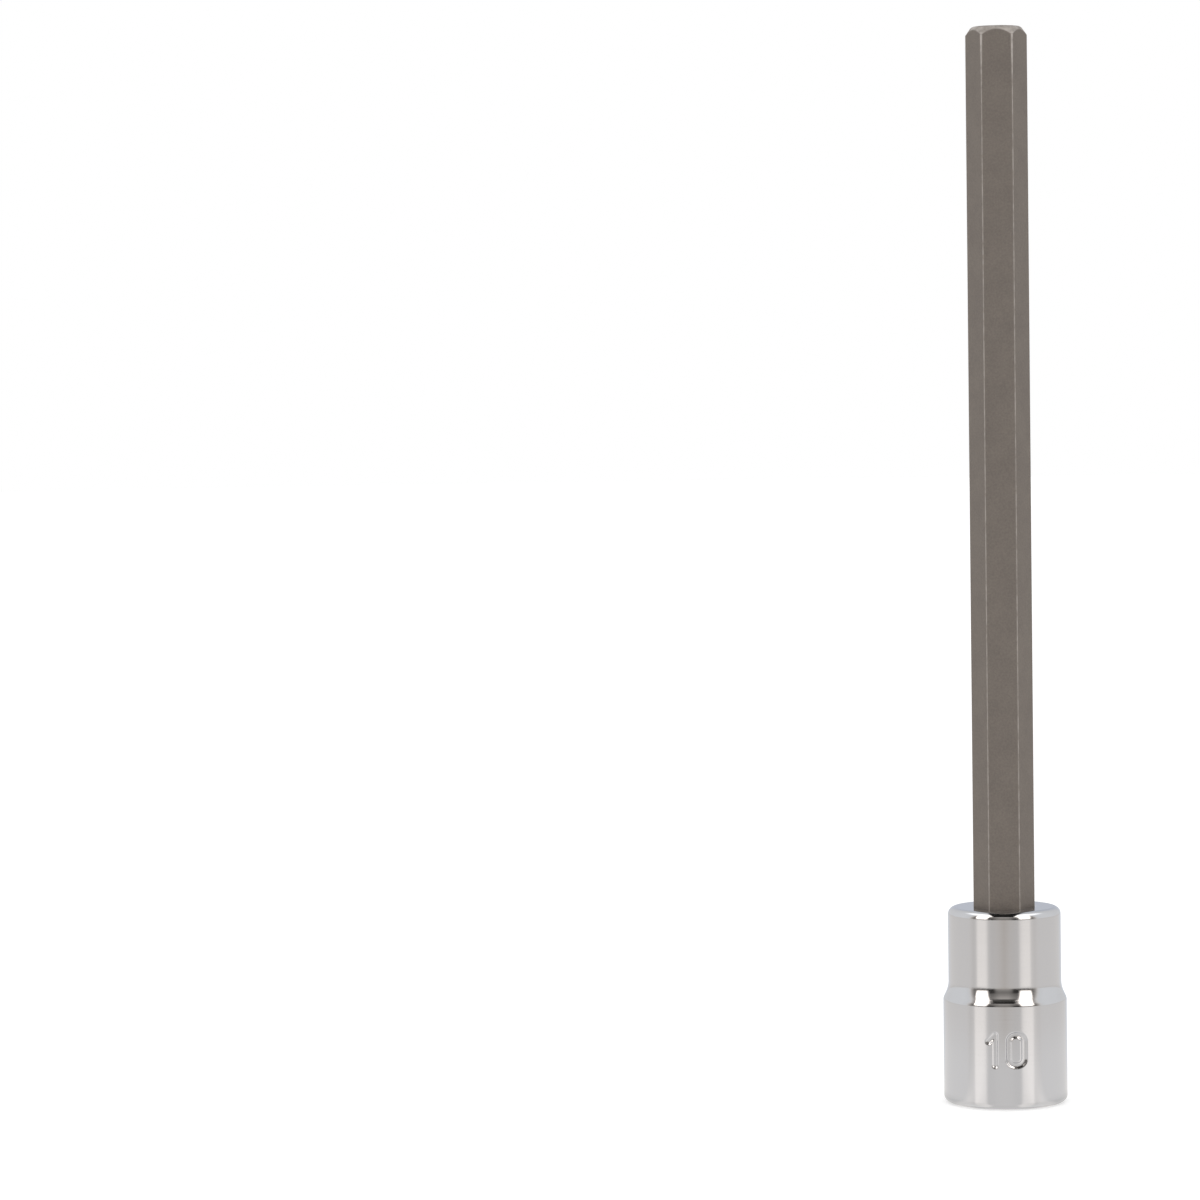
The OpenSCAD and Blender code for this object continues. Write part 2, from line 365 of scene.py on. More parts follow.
def grid_mesh(name, points, closed, sharp_angle=radians(40), **attributes):
    """Object whose faces join a grid of points, rows x columns x 3. Columns join up into rings. Rows join
    up too where closed is true; otherwise a fan round its middle closes each end ring. Each attribute is a
    value per grid point."""
    rows, columns = points.shape[:2]
    index = np.arange(rows * columns).reshape(rows, columns)
    low = index if closed else index[:-1]
    high = np.roll(index, -1, axis=0) if closed else index[1:]
    quads = np.stack([low, np.roll(low, -1, 1), np.roll(high, -1, 1), high], axis=-1).reshape(-1, 4)
    vertices = points.reshape(-1, 3)
    faces = quads.tolist()
    if not closed:
        vertices = np.concatenate([vertices, points[[0, -1]].mean(axis=1)])
        first, last = rows * columns, rows * columns + 1
        fans = [(np.roll(index[0], -1), index[0], first), (index[-1], np.roll(index[-1], -1), last)]
        for one, two, middle in fans:
            faces += np.stack([one, two, np.full(columns, middle)], axis=-1).tolist()
    mesh = bpy.data.meshes.new(name)
    mesh.from_pydata(vertices, [], faces)
    for key, values in attributes.items():
        flat = np.zeros(len(vertices), np.float32)
        flat[: values.size] = values.ravel()
        if not closed:
            flat[values.size :] = values[[0, -1]].mean(axis=1)
        mesh.attributes.new(key, "FLOAT", "POINT").data.foreach_set("value", flat)
    mesh.update()
    mesh.shade_smooth()
    mesh.set_sharp_from_angle(angle=sharp_angle)
    piece = bpy.data.objects.new(name, mesh)
    bpy.context.scene.collection.objects.link(piece)
    return piece


def box_distance(across, up, half_w, half_h, rounding):
    """Distance to the outline of a box with rounded corners: the distance to a smaller box, less the
    rounding."""
    out_x, out_y = abs(across) - half_w + rounding, abs(up) - half_h + rounding
    outside = np.hypot(np.maximum(out_x, 0), np.maximum(out_y, 0))
    return abs(outside + np.minimum(np.maximum(out_x, out_y), 0) - rounding)


def line_distance(across, up, start, end):
    """Distance to a straight stroke: the distance to the nearest point between its ends."""
    dx, dy = end[0] - start[0], end[1] - start[1]
    share = np.clip(((across - start[0]) * dx + (up - start[1]) * dy) / (dx * dx + dy * dy), 0, 1)
    return np.hypot(across - start[0] - share * dx, up - start[1] - share * dy)


def size_mark(across, up, mark):
    """How deep a plain 10 is stamped, from 0 to 1. across and up are measured from the number's middle: the
    stroke is as deep as it gets up to half its width less its sloping side from the middle line of a
    digit."""
    top = mark.digit_h / 2
    one_x = -(mark.gap + mark.digit_w) / 2 + mark.flag / 2
    zero_x = one_x + mark.gap + mark.digit_w / 2
    stem = line_distance(across, up, (one_x, -top), (one_x, top))
    flag = line_distance(across, up, (one_x, top), (one_x - mark.flag, top - mark.flag))
    zero = box_distance(across - zero_x, up, mark.digit_w / 2, top, mark.corner)
    distance = np.minimum(np.minimum(stem, flag), zero)
    return 1 - smooth(mark.stroke / 2 - mark.bank, mark.stroke / 2, distance)


def groove_ends(play):
    """Heights of the lower and the upper side of the ring's groove."""
    ring = bpy.context.scene.ring_sizes
    return [ring.centre_z + side * (ring.wire_r + play) for side in (-1, 1)]


def body_corners(size, mark, outer, inner):
    """Corners of the body's profile, up its outside, down through the seat, the web and the square recess,
    and out along the foot. outer and inner are the directions of the outer and inner columns."""
    seat = polygon_r(inner, size.seat_half, HEX_SIDES)
    square = polygon_r(inner + pi / SQUARE_SIDES, size.square_half, SQUARE_SIDES, size.square_round)
    seat_slope = size.seat_lead_h / (size.seat_mouth_r - size.seat_lead_r)
    square_slope = size.square_lead_h / (size.square_mouth_r - size.square_lead_r)
    groove_low, groove_high = groove_ends(size.play)
    groove = np.maximum(size.groove_r, seat + size.play)
    mark_reach = (mark.digit_h + mark.stroke) / 2 + mark.margin
    tiny = size.edge_break
    dimple_reach = size.dimple_r * DIMPLE_REACH
    return [
        corner(size.radius, 0, outer, size.foot_round, WALL_PITCH),
        corner(size.radius, mark.centre_z - mark_reach, outer, 0, STAMP_PITCH),
        corner(size.radius, mark.centre_z + mark_reach, outer, 0, WALL_PITCH),
        corner(size.radius, size.shoulder_z, outer, size.edge_round),
        corner(size.collar_r, size.shoulder_z + size.shoulder_h, outer, size.hollow_round, WALL_PITCH),
        corner(size.collar_r, size.height, outer, size.collar_round, WALL_PITCH),
        corner(size.seat_mouth_r, size.height, inner, tiny),
        corner(seat, size.height - (size.seat_mouth_r - seat) * seat_slope, inner, tiny, SEAT_PITCH),
        corner(seat, groove_high, inner),
        corner(groove, groove_high, inner),
        corner(groove, groove_low, inner),
        corner(seat, groove_low, inner),
        corner(seat, BIT_LOW.z, inner),
        corner(size.web_hole_r, BIT_LOW.z, inner, tiny),
        corner(size.web_hole_r, size.square_depth + size.web_cone_h, inner, tiny),
        corner(size.web_cone_r, size.square_depth, inner),
        corner(square, size.square_depth, inner, 0, WALL_PITCH),
        corner(square, size.dimple_z + dimple_reach, inner, 0, DIMPLE_PITCH),
        corner(square, size.dimple_z - dimple_reach, inner, 0, WALL_PITCH),
        corner(square, (size.square_mouth_r - square) * square_slope, inner, tiny),
        corner(size.square_mouth_r, 0, inner, tiny),
    ]


def sink_dimples(rows, size):
    """Widens the recess to the four balls of its detent dimples. Along a direction at angle a from a ball's
    own, the ball's far side lies at c cos a + sqrt(ball^2 - height^2 - (c sin a)^2), c being the ball's
    distance."""
    r, z, turn = np.moveaxis(rows, -1, 0)
    from_ball = from_nearest(turn, 2 * pi / SQUARE_SIDES)
    centre = size.square_half + size.dimple_depth - size.dimple_r
    room = size.dimple_r**2 - (z - size.dimple_z) ** 2 - (centre * np.sin(from_ball)) ** 2
    ball = np.where(room > 0, centre * np.cos(from_ball) + np.sqrt(np.maximum(room, 0)), 0)
    rows[..., 0] = np.maximum(r, ball)


def columns_round(count):
    """Directions of the outer columns: closest together at the front and the back, where the size marks
    are. The spacing follows 1 + spread x cos 2u, which has no jumps that a polished surface would show."""
    even = np.linspace(-pi, pi, count, endpoint=False)
    spread = 0.75
    return even + spread / 2 * np.sin(2 * even)


def snapped(turns, marks):
    """The directions, with the nearest one to each mark moved onto it."""
    moved = turns.copy()
    for mark in marks:
        gap = from_nearest(turns - mark, 2 * pi)
        moved[abs(gap).argmin()] -= gap[abs(gap).argmin()]
    return moved


def make_body(size, mark):
    """Grid of the body's profile round the axis, with the stamped number on two sides and the dimples
    inside."""
    outer = columns_round(size.columns)
    hex_corners = np.arange(HEX_SIDES) / HEX_SIDES
    square_corners = (np.arange(SQUARE_SIDES) + 0.5) / SQUARE_SIDES
    inner = snapped(outer, 2 * pi * np.concatenate([hex_corners, square_corners]))
    rows = profile_rows(body_corners(size, mark, outer, inner), closed=True)
    sink_dimples(rows, size)
    r, z, turn = np.moveaxis(rows, -1, 0)
    stamped = np.zeros_like(r)
    for side in (-pi / 2, pi / 2):
        across = size.radius * from_nearest(turn - side, 2 * pi)
        stamped += size_mark(across, z - mark.centre_z, mark) * (r > size.radius - mark.bank)
    rows[..., 0] -= mark.depth * stamped
    depth = np.minimum(z, size.height - z)
    inside = smooth(*THIN_DEPTHS, depth) * (r < size.collar_r - size.collar_round)
    return grid_mesh("chrome_body", revolved(rows), True, inside=inside, stamped=stamped)


def bit_columns(size, rounding):
    """Directions round the bit, the same in each of its six sectors: close together over the rounded edge
    and the wear beside it, further apart on the flat."""
    tangent = pi / HEX_SIDES - np.arctan((size.half - rounding) * tan(pi / HEX_SIDES) / size.half)
    worn, sector = 2 * tangent, 2 * pi / HEX_SIDES
    ends = (-tangent, tangent, worn, sector - worn, sector - tangent)
    counts = (EDGE_COLUMNS, WEAR_COLUMNS, FLAT_COLUMNS, WEAR_COLUMNS)
    stretches = zip(ends[:-1], ends[1:], counts)
    one = np.concatenate([np.linspace(*stretch, endpoint=False) for stretch in stretches])
    return (one + sector * np.arange(HEX_SIDES)[:, None]).ravel()


def make_bit(size):
    """Grid of the bit's profile round the axis: seated end, ring groove, flats, and the bevelled and
    rounded tip."""
    corner_r = size.half / cos(pi / HEX_SIDES)
    rounding = (corner_r - size.edge_r) / (1 / cos(pi / HEX_SIDES) - 1)
    turns = bit_columns(size, rounding)
    flat = polygon_r(turns, size.half, HEX_SIDES, rounding)
    groove_low, groove_high = groove_ends(size.play)
    tip_r, seat_r = size.edge_r - size.bevel_w, size.edge_r - size.seat_bevel
    bevel_z = size.tip_z - size.bevel_h * (flat - tip_r) / size.bevel_w
    small = size.edge_break / 2
    rows = profile_rows(
        [
            corner(MIDDLE_R, size.low_z, turns),
            corner(seat_r, size.low_z, turns),
            corner(flat, size.low_z + flat - seat_r, turns),
            corner(flat, groove_low, turns, small),
            corner(size.groove_floor_r, groove_low, turns),
            corner(size.groove_floor_r, groove_high, turns),
            corner(flat, groove_high, turns, small, FLAT_PITCH),
            corner(flat, bevel_z, turns, size.edge_break, BEVEL_PITCH),
            corner(tip_r, size.tip_z, turns, size.tip_round, TIP_PITCH),
            corner(MIDDLE_R, size.tip_z, turns),
        ],
        closed=False,
    )
    r, z, turn = np.moveaxis(rows, -1, 0)
    from_edge = abs(from_nearest(turn, 2 * pi / HEX_SIDES)) * r
    below_bevel = smooth(*WEAR_DEPTHS, bevel_z - z)
    near_tip = smooth(size.tip_z - size.tip_wear, size.tip_z - size.bevel_h, z)
    reach = size.wear_w * (1 + TIP_SPREAD * near_tip)
    edge_wear = (EDGE_WEAR + TIP_WEAR * near_tip) * np.exp(-((from_edge / reach) ** 2)) * below_bevel
    # Painted highlight: the whole bevel is lightened, partly as ground metal and partly for the light it
    # catches
    ground_and_highlight = BEVEL_GROUND_AND_HIGHLIGHT * (1 - below_bevel) * (r > tip_r - size.bevel_w / 2)
    from_rim = (r - tip_r + size.wear_w) / size.wear_w
    rim_wear = RIM_WEAR * np.exp(-(from_rim**2)) * (z > size.tip_z - size.bevel_h)
    end_face = smooth(*(size.tip_z - depth for depth in END_DEPTHS), z)
    # Bright metal: the edges' and the rim's wear, and the bevel's ground metal with its painted highlight
    wear = np.maximum(np.maximum(edge_wear, ground_and_highlight), rim_wear)
    return grid_mesh("blasted_bit", revolved(rows), False, worn=wear, end_face=end_face)


def make_ring(size):
    """Round wire carried along an open circle. The wire's radius shrinks over its last stretch, as a cut
    end that was tumbled does: sqrt(1 - share^2) of the rounding is left."""
    middle_r = size.outer_r - size.wire_r
    gap = 2 * np.arcsin(size.split / 2 / middle_r)
    edge = 1 - np.cos(np.linspace(0, 1, END_STEPS) * pi / 2)
    cut = size.end_round / middle_r
    first, last = gap / 2, 2 * pi - gap / 2
    even = np.linspace(first + cut, last - cut, RING_STEPS)[1:-1]
    along = np.concatenate([first + cut * edge, even, last - cut * edge[::-1]])
    reach = np.minimum(np.minimum(along - first, last - along) / cut, 1)
    wire = size.wire_r - size.end_round * (1 - np.sqrt(1 - (1 - reach) ** 2))
    round_wire = np.linspace(0, 2 * pi, WIRE_STEPS, endpoint=False)
    r = middle_r + wire[:, None] * np.cos(round_wire)
    z = size.centre_z - wire[:, None] * np.sin(round_wire)
    rows = np.stack([r, z, np.broadcast_to(along[:, None], r.shape)], axis=-1)
    return grid_mesh("spring_ring", revolved(rows), False)


def grey(level):
    """A grey's red, green, blue and opacity."""
    return (level, level, level, 1)


def shares(stops, whole):
    """A ramp's stops, with their places as shares of the whole."""
    return [(place / whole, level) for place, level in stops]


def add(tree, kind, inputs=(), **settings):
    """Adds a node with its settings. Its inputs, by name or in order, are values, or sockets or nodes to
    link, and a node stands for the first of its outputs that is in use. Stops are a ramp's places and
    levels."""
    made = tree.nodes.new(kind)
    for name, value in settings.items():
        if name == "stops":
            while len(made.color_ramp.elements) < len(value):
                made.color_ramp.elements.new(1)
            for element, (place, level) in zip(made.color_ramp.elements, value):
                element.position = place
                element.color = grey(level)
        else:
            setattr(made, name, value)
    for name, value in inputs.items() if isinstance(inputs, dict) else enumerate(inputs):
        if isinstance(value, bpy.types.Node):
            value = next(socket for socket in value.outputs if socket.enabled)
        if isinstance(value, bpy.types.NodeSocket):
            tree.links.new(value, made.inputs[name])
        else:
            made.inputs[name].default_value = value
    return made


def empty_material(name):
    """A material with no nodes, and its node tree."""
    material = bpy.data.materials.new(name)
    material.use_nodes = True
    material.node_tree.nodes.clear()
    return material, material.node_tree


def polished_chrome(finish):
    """Chrome over nickel on turned and buffed steel: a cool mirror with faint turning lines, 0.07 mm apart,
    and the slight waves that buffing leaves, 7 mm wide. Inside the recesses the plating is thin and stays
    satin."""
    # Roughness of the clean and the smudged mirror and of the thin plating, and what stamping adds
    clean, smudged, thin, stamping = 0.05, 0.09, 0.38, 0.08
    # Values of the smudges' noise up to which the mirror is clean, and from which it is smudged
    few, many = 0.35, 0.75
    material, tree = empty_material("polished_chrome_plate")
    place = add(tree, "ShaderNodeTexCoord").outputs["Object"]
    height = add(tree, "ShaderNodeSeparateXYZ", (place,)).outputs["Z"]
    inside = add(tree, "ShaderNodeAttribute", attribute_name="inside").outputs["Fac"]
    stamped = add(tree, "ShaderNodeAttribute", attribute_name="stamped").outputs["Fac"]
    waves, pits, smudges = [
        add(tree, "ShaderNodeTexNoise", {"Vector": place, "Scale": 1 / width, "Detail": detail})
        for width, detail in ((7 * MM, 1), (0.3 * MM, 3), (4 * MM, 4))
    ]
    turning = {"W": height, "Scale": 1 / (0.07 * MM), "Detail": 2}
    lines = add(tree, "ShaderNodeTexNoise", turning, noise_dimensions="1D")
    waved = add(tree, "ShaderNodeBump", {"Height": waves, "Distance": 0.008 * MM})
    lined = add(tree, "ShaderNodeBump", {"Height": lines, "Distance": 0.0028 * MM, "Normal": waved})
    pitting = {"Height": pits, "Distance": 0.02 * MM, "Strength": inside, "Normal": lined}
    pitted = add(tree, "ShaderNodeBump", pitting)
    mirror = add(tree, "ShaderNodeMapRange", (smudges, few, many, clean, smudged))
    outside = add(tree, "ShaderNodeMath", (stamped, stamping, mirror), operation="MULTIPLY_ADD")
    roughness = add(tree, "ShaderNodeMix", {"Factor": inside, "A": outside, "B": thin})
    plating = {"Factor": inside, "A": finish.chrome, "B": finish.nickel}
    tint = add(tree, "ShaderNodeMix", plating, data_type="RGBA")
    surface = {"Metallic": 1, "Base Color": tint, "Roughness": roughness, "Normal": pitted}
    shader = add(tree, "ShaderNodeBsdfPrincipled", surface)
    add(tree, "ShaderNodeOutputMaterial", {"Surface": shader})
    return material


def blasted_steel(finish):
    """Hardened tool steel, blasted with fine grit and phosphated: a matt brown grey with a mottled grain,
    rubbed to bright metal along the edges. Real grit of 0.1 mm is drawn at 0.35 mm, so that it shows."""
    # Roughness of the blasted skin and of the worn edges
    blasted, rubbed = 0.62, 0.4
    # Values of the grain's noise up to which the skin is dark, and from which it is pale
    dark, pale = 0.35, 0.65
    # Weakest wear, and values of the patches' noise up to which wear is that weak, and from which it is full
    weak, few, many = 0.3, 0.3, 0.62
    material, tree = empty_material("blasted_tool_steel")
    place = add(tree, "ShaderNodeTexCoord").outputs["Object"]
    # The worn attribute holds the edges' wear and the bevel's ground metal with its painted highlight
    worn = add(tree, "ShaderNodeAttribute", attribute_name="worn").outputs["Fac"]
    end_face = add(tree, "ShaderNodeAttribute", attribute_name="end_face").outputs["Fac"]
    grain, mottle, patches = [
        add(tree, "ShaderNodeTexNoise", {"Vector": place, "Scale": 1 / width, "Detail": detail})
        for width, detail in ((0.35 * MM, 3), (5 * MM, 4), (1.5 * MM, 5))
    ]
    both = add(tree, "ShaderNodeMix", {"Factor": 0.4, "A": grain, "B": mottle})
    lighter = add(tree, "ShaderNodeMapRange", (both, dark, pale))
    patchy = add(tree, "ShaderNodeMapRange", (patches, few, many, weak))
    bright = add(tree, "ShaderNodeMath", (worn, patchy), operation="MULTIPLY", use_clamp=True)
    tint = finish.steel_dark
    further = ((lighter, finish.steel), (end_face, finish.steel_end), (bright, finish.steel_worn))
    for factor, shade in further:
        tint = add(tree, "ShaderNodeMix", {"Factor": factor, "A": tint, "B": shade}, data_type="RGBA")
    roughness = add(tree, "ShaderNodeMapRange", {0: bright, 3: blasted, 4: rubbed})
    bumped = add(tree, "ShaderNodeBump", {"Height": grain, "Distance": 0.008 * MM})
    surface = {"Metallic": 0.16, "Base Color": tint, "Roughness": roughness, "Normal": bumped}
    shader = add(tree, "ShaderNodeBsdfPrincipled", {**surface, "Specular IOR Level": 0.3})
    add(tree, "ShaderNodeOutputMaterial", {"Surface": shader})
    return material


def spring_wire(finish):
    """Drawn and tempered spring wire: satin grey metal with fine lines, 0.08 mm apart, along the wire,
    which runs round the axis."""
    # Roughness of the bottoms and of the tops of the lines
    bottoms, tops = 0.22, 0.36
    material, tree = empty_material("drawn_spring_wire")
    place = add(tree, "ShaderNodeTexCoord").outputs["Object"]
    height = add(tree, "ShaderNodeSeparateXYZ", (place,)).outputs["Z"]
    flat = add(tree, "ShaderNodeVectorMath", (place, (1, 1, 0)), operation="MULTIPLY")
    radius = add(tree, "ShaderNodeVectorMath", (flat,), operation="LENGTH")
    section = add(tree, "ShaderNodeCombineXYZ", {"X": radius, "Y": height})
    lines = add(tree, "ShaderNodeTexNoise", {"Vector": section, "Scale": 1 / (0.08 * MM), "Detail": 2})
    bumped = add(tree, "ShaderNodeBump", {"Height": lines, "Distance": 0.004 * MM})
    roughness = add(tree, "ShaderNodeMapRange", {0: lines, 3: bottoms, 4: tops})
    surface = {"Metallic": 1, "Base Color": finish.spring, "Roughness": roughness, "Normal": bumped}
    shader = add(tree, "ShaderNodeBsdfPrincipled", surface)
    add(tree, "ShaderNodeOutputMaterial", {"Surface": shader})
    return material


def dress(piece, material, body, node):
    """Gives a piece its material in a slot of its own, and its body, and hides the frame's node that it
    stands for.
    """
    piece.data.materials.append(material)
    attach(piece, body)
    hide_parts(node)


def turned_room(tree, turn):
    """Direction of a ray, or place of a point of the floor, as it is from a front that is turned."""
    place = add(tree, "ShaderNodeTexCoord").outputs["Object"]
    return add(tree, "ShaderNodeVectorRotate", {"Vector": place, "Angle": turn}, rotation_type="Z_AXIS")


def side_angle(tree, place):
    """Angle between a direction and the front, as a share of half a turn and in degrees: the arc tangent of
    x over -y."""
    parts = add(tree, "ShaderNodeSeparateXYZ", (place,))
    back = add(tree, "ShaderNodeMath", (parts.outputs["Y"], -1), operation="MULTIPLY")
    turn = add(tree, "ShaderNodeMath", (parts.outputs["X"], back), operation="ARCTAN2")
    side = add(tree, "ShaderNodeMath", (turn,), operation="ABSOLUTE")
    share = add(tree, "ShaderNodeMath", (side, pi), operation="DIVIDE")
    return share, add(tree, "ShaderNodeMath", (share, HALF_TURN), operation="MULTIPLY")


def pale_floor(finish, stage):
    """Pale matt floor. The camera sees it as white, less the tool's shadow. Metal sees a pale floor with a
    sheen and painted light: painted shade makes it darker, and warmer, towards the camera, lit stripes are
    painted beside it, and painted shade darkens it close beside the foot. It can't be seen from below."""
    material, tree = empty_material("pale_floor")
    path = add(tree, "ShaderNodeLightPath")
    place = turned_room(tree, stage.floor_turn)
    around, side = side_angle(tree, place)
    distance = add(tree, "ShaderNodeVectorMath", (place,), operation="LENGTH")
    sideways = add(tree, "ShaderNodeValToRGB", (around,), stops=shares(FLOOR_SIDEWAYS, HALF_TURN))
    outward = add(tree, "ShaderNodeValToRGB", (distance,), stops=FLOOR_OUTWARD)
    lit = add(tree, "ShaderNodeValToRGB", (around,), stops=shares(FLOOR_STRIPES, HALF_TURN))
    behind, beside, close = [
        add(tree, "ShaderNodeMapRange", (value, *span), interpolation_type="SMOOTHSTEP")
        for value, span in ((side, FLOOR_BEHIND), (side, FLOOR_BESIDE), (distance, FLOOR_CLOSE))
    ]
    far = add(tree, "ShaderNodeMath", (sideways, outward), operation="MULTIPLY")
    shade = add(tree, "ShaderNodeMath", (close, beside), operation="MULTIPLY")
    tint = finish.floor_near
    further = ((far, finish.floor_far), (behind, finish.floor_back), (shade, finish.floor_shade))
    for factor, colour_there in further:
        tint = add(tree, "ShaderNodeMix", {"Factor": factor, "A": tint, "B": colour_there}, data_type="RGBA")
    stripes = {"Factor": lit, "A": tint, "B": finish.room_warm}
    striped = add(tree, "ShaderNodeMix", stripes, data_type="RGBA", blend_type="ADD")
    matt = add(tree, "ShaderNodeEmission", {"Color": striped})
    sheen = {"Color": grey(stage.floor_sheen), "Roughness": stage.sheen_roughness}
    glossy = add(tree, "ShaderNodeBsdfGlossy", sheen)
    seen_in_metal = add(tree, "ShaderNodeAddShader", (matt, glossy))
    pale = add(tree, "ShaderNodeBsdfDiffuse", {"Color": finish.floor})
    glow = {"Color": grey(stage.floor_glow), "Strength": path.outputs["Is Camera Ray"]}
    white = add(tree, "ShaderNodeEmission", glow)
    seen = add(tree, "ShaderNodeAddShader", (pale, white))
    above = add(tree, "ShaderNodeMixShader", (path.outputs["Is Glossy Ray"], seen, seen_in_metal))
    clear = add(tree, "ShaderNodeBsdfTransparent")
    back = add(tree, "ShaderNodeNewGeometry").outputs["Backfacing"]
    shader = add(tree, "ShaderNodeMixShader", (back, above, clear))
    add(tree, "ShaderNodeOutputMaterial", {"Surface": shader})
    return material


def make_floor(stage, finish):
    """Flat ring just under the foot, from the opening under the hollow foot out to the floor's edge."""
    turns = np.linspace(0, 2 * pi, FLOOR_COLUMNS, endpoint=False)
    radii = np.geomspace(stage.hole_r, stage.floor_r, FLOOR_RINGS)[:, None]
    points = revolved(np.stack(np.broadcast_arrays(radii, -stage.foot_gap, turns), axis=-1))
    index = np.arange(points.shape[0] * points.shape[1]).reshape(points.shape[:2])
    low, high = index[:-1], index[1:]
    quads = np.stack([low, high, np.roll(high, -1, 1), np.roll(low, -1, 1)], axis=-1).reshape(-1, 4)
    mesh = bpy.data.meshes.new("floor")
    mesh.from_pydata(points.reshape(-1, 3), [], quads.tolist())
    mesh.materials.append(pale_floor(finish, stage))
    floor = bpy.data.objects.new("floor", mesh)
    bpy.context.scene.collection.objects.link(floor)


def light_room(stage, finish):
    """World: white to the camera, and an even pale light on matt surfaces. Metal mirrors a studio in it: a
    tall soft box at each side of the camera, the dark room over the camera, pale walls, and a lit
    ceiling."""
    world = bpy.data.worlds.new("studio")
    world.use_nodes = True
    tree = world.node_tree
    tree.nodes.clear()
    bpy.context.scene.world = world
    path = add(tree, "ShaderNodeLightPath")
    away = turned_room(tree, stage.room_turn)
    x, y, z = add(tree, "ShaderNodeSeparateXYZ", (away,)).outputs
    around, side = side_angle(tree, away)
    rise = add(tree, "ShaderNodeMath", (z,), operation="ARCSINE")
    upward = add(tree, "ShaderNodeMath", (rise, pi / 2), operation="DIVIDE")
    height = add(tree, "ShaderNodeMath", (upward, QUARTER_TURN), operation="MULTIPLY")
    mirrored_x = add(tree, "ShaderNodeMath", (x,), operation="ABSOLUTE")
    mirrored = add(tree, "ShaderNodeCombineXYZ", (mirrored_x, y, z))
    low_edge, high_edge, before_rear = [
        add(tree, "ShaderNodeVectorMath", (mirrored, tuple(square_to)), operation="DOT_PRODUCT")
        for square_to in (stage.box_edge, stage.box_high_edge, stage.rear_edge)
    ]
    softness = add(tree, "ShaderNodeMapRange", (height, *BOX_SHARPER, *BOX_SOFTNESS))
    upper = add(tree, "ShaderNodeMapRange", (height, *BOX_UPPER), interpolation_type="SMOOTHSTEP")
    edge = add(tree, "ShaderNodeMix", {0: upper, 2: low_edge, 3: high_edge})
    past_edge = add(tree, "ShaderNodeMath", (edge, softness), operation="DIVIDE")
    lean = add(tree, "ShaderNodeMath", (height, -BOX_LEAN, side), operation="MULTIPLY_ADD")
    from_end = add(tree, "ShaderNodeMath", (lean, degrees(stage.box_end)), operation="SUBTRACT")
    past_end = add(tree, "ShaderNodeMath", (from_end, softness), operation="DIVIDE")
    masks = {}
    for name, value, low, high in (
        ("in_box", past_edge, -0.85, 1.15),
        ("behind_box", past_end, -33, 33),
        ("over_floor", height, 4.5, 8.5),
        ("before_rear", before_rear, 0, 0.08),
        ("near_ceiling", height, 40, 58),
        ("off_middle", side, 6, 26),
        ("beside_box", side, 14, 22),
        ("low", height, 19, 13),
        ("beside", side, 64, 80),
        ("cool", side, 150, 178),
    ):
        masks[name] = add(tree, "ShaderNodeMapRange", (value, low, high), interpolation_type="SMOOTHSTEP")
    front = add(tree, "ShaderNodeValToRGB", (upward,), stops=shares(ROOM_FRONT, QUARTER_TURN))
    walls = add(tree, "ShaderNodeValToRGB", (around,), stops=shares(ROOM_WALLS, HALF_TURN))
    feet = add(tree, "ShaderNodeMath", (masks["beside_box"], masks["low"]), operation="MULTIPLY")
    dim = add(tree, "ShaderNodeMath", (front, OFF_MIDDLE), operation="MULTIPLY")
    lit = masks["near_ceiling"], masks["before_rear"]
    panel = add(tree, "ShaderNodeMath", lit, operation="MULTIPLY")
    level = front
    for factor, value in ((masks["off_middle"], dim), (feet, BOX_FEET)):
        level = add(tree, "ShaderNodeMix", {0: factor, 2: level, 3: value})
    box = add(tree, "ShaderNodeMix", {0: masks["over_floor"], 2: level, 3: stage.box_radiance})
    room = add(tree, "ShaderNodeMix", {0: panel, 2: walls, 3: stage.ceiling_radiance})
    beside = add(tree, "ShaderNodeMix", {0: masks["behind_box"], 2: box, 3: room})
    level = add(tree, "ShaderNodeMix", {0: masks["in_box"], 2: level, 3: beside})
    tint = finish.room_warm
    for factor, further in ((masks["beside"], finish.room_side), (masks["cool"], finish.room_cool)):
        tint = add(tree, "ShaderNodeMix", {"Factor": factor, "A": tint, "B": further}, data_type="RGBA")
    reflected = add(tree, "ShaderNodeBackground", {"Color": tint, "Strength": level})
    even = add(tree, "ShaderNodeBackground", {"Color": grey(1), "Strength": stage.even_radiance})
    white = add(tree, "ShaderNodeBackground", {"Color": grey(1)})
    glossy = add(tree, "ShaderNodeMixShader", (path.outputs["Is Glossy Ray"], even, reflected))
    straight_rays = (path.outputs["Is Camera Ray"], path.outputs["Is Transmission Ray"])
    plain = add(tree, "ShaderNodeMath", straight_rays)
    shown = add(tree, "ShaderNodeMixShader", (plain, glossy, white))
    add(tree, "ShaderNodeOutputWorld", {"Surface": shown})


def make_camera(stage):
    """Camera at the photograph's viewing angle. It looks along +Y, turned left by the yaw, down by the
    pitch, and leans by the roll."""
    data = bpy.data.cameras.new("camera")
    data.sensor_width = 36
    data.lens = stage.lens
    camera = bpy.data.objects.new("camera", data)
    level = Matrix.Rotation(pi / 2, 4, "X")
    camera.matrix_world = (
        Matrix.Translation(Vector(stage.camera_place))
        @ Matrix.Rotation(stage.camera_yaw, 4, "Z")
        @ Matrix.Rotation(-stage.camera_pitch, 4, "X")
        @ level
        @ Matrix.Rotation(-stage.camera_roll, 4, "Z")
    )
    bpy.context.scene.collection.objects.link(camera)
    bpy.context.scene.camera = camera


class MESH_OT_socket_body(bpy.types.Operator):
    """Adds the chromed socket body"""

    bl_idname = "mesh.socket_body"
    bl_label = "Socket Body"

    def execute(self, context):
        scene = context.scene
        piece = make_body(scene.body_sizes, scene.mark_sizes)
        dress(piece, polished_chrome(scene.finishes), "body", "socket_body")
        return {"FINISHED"}


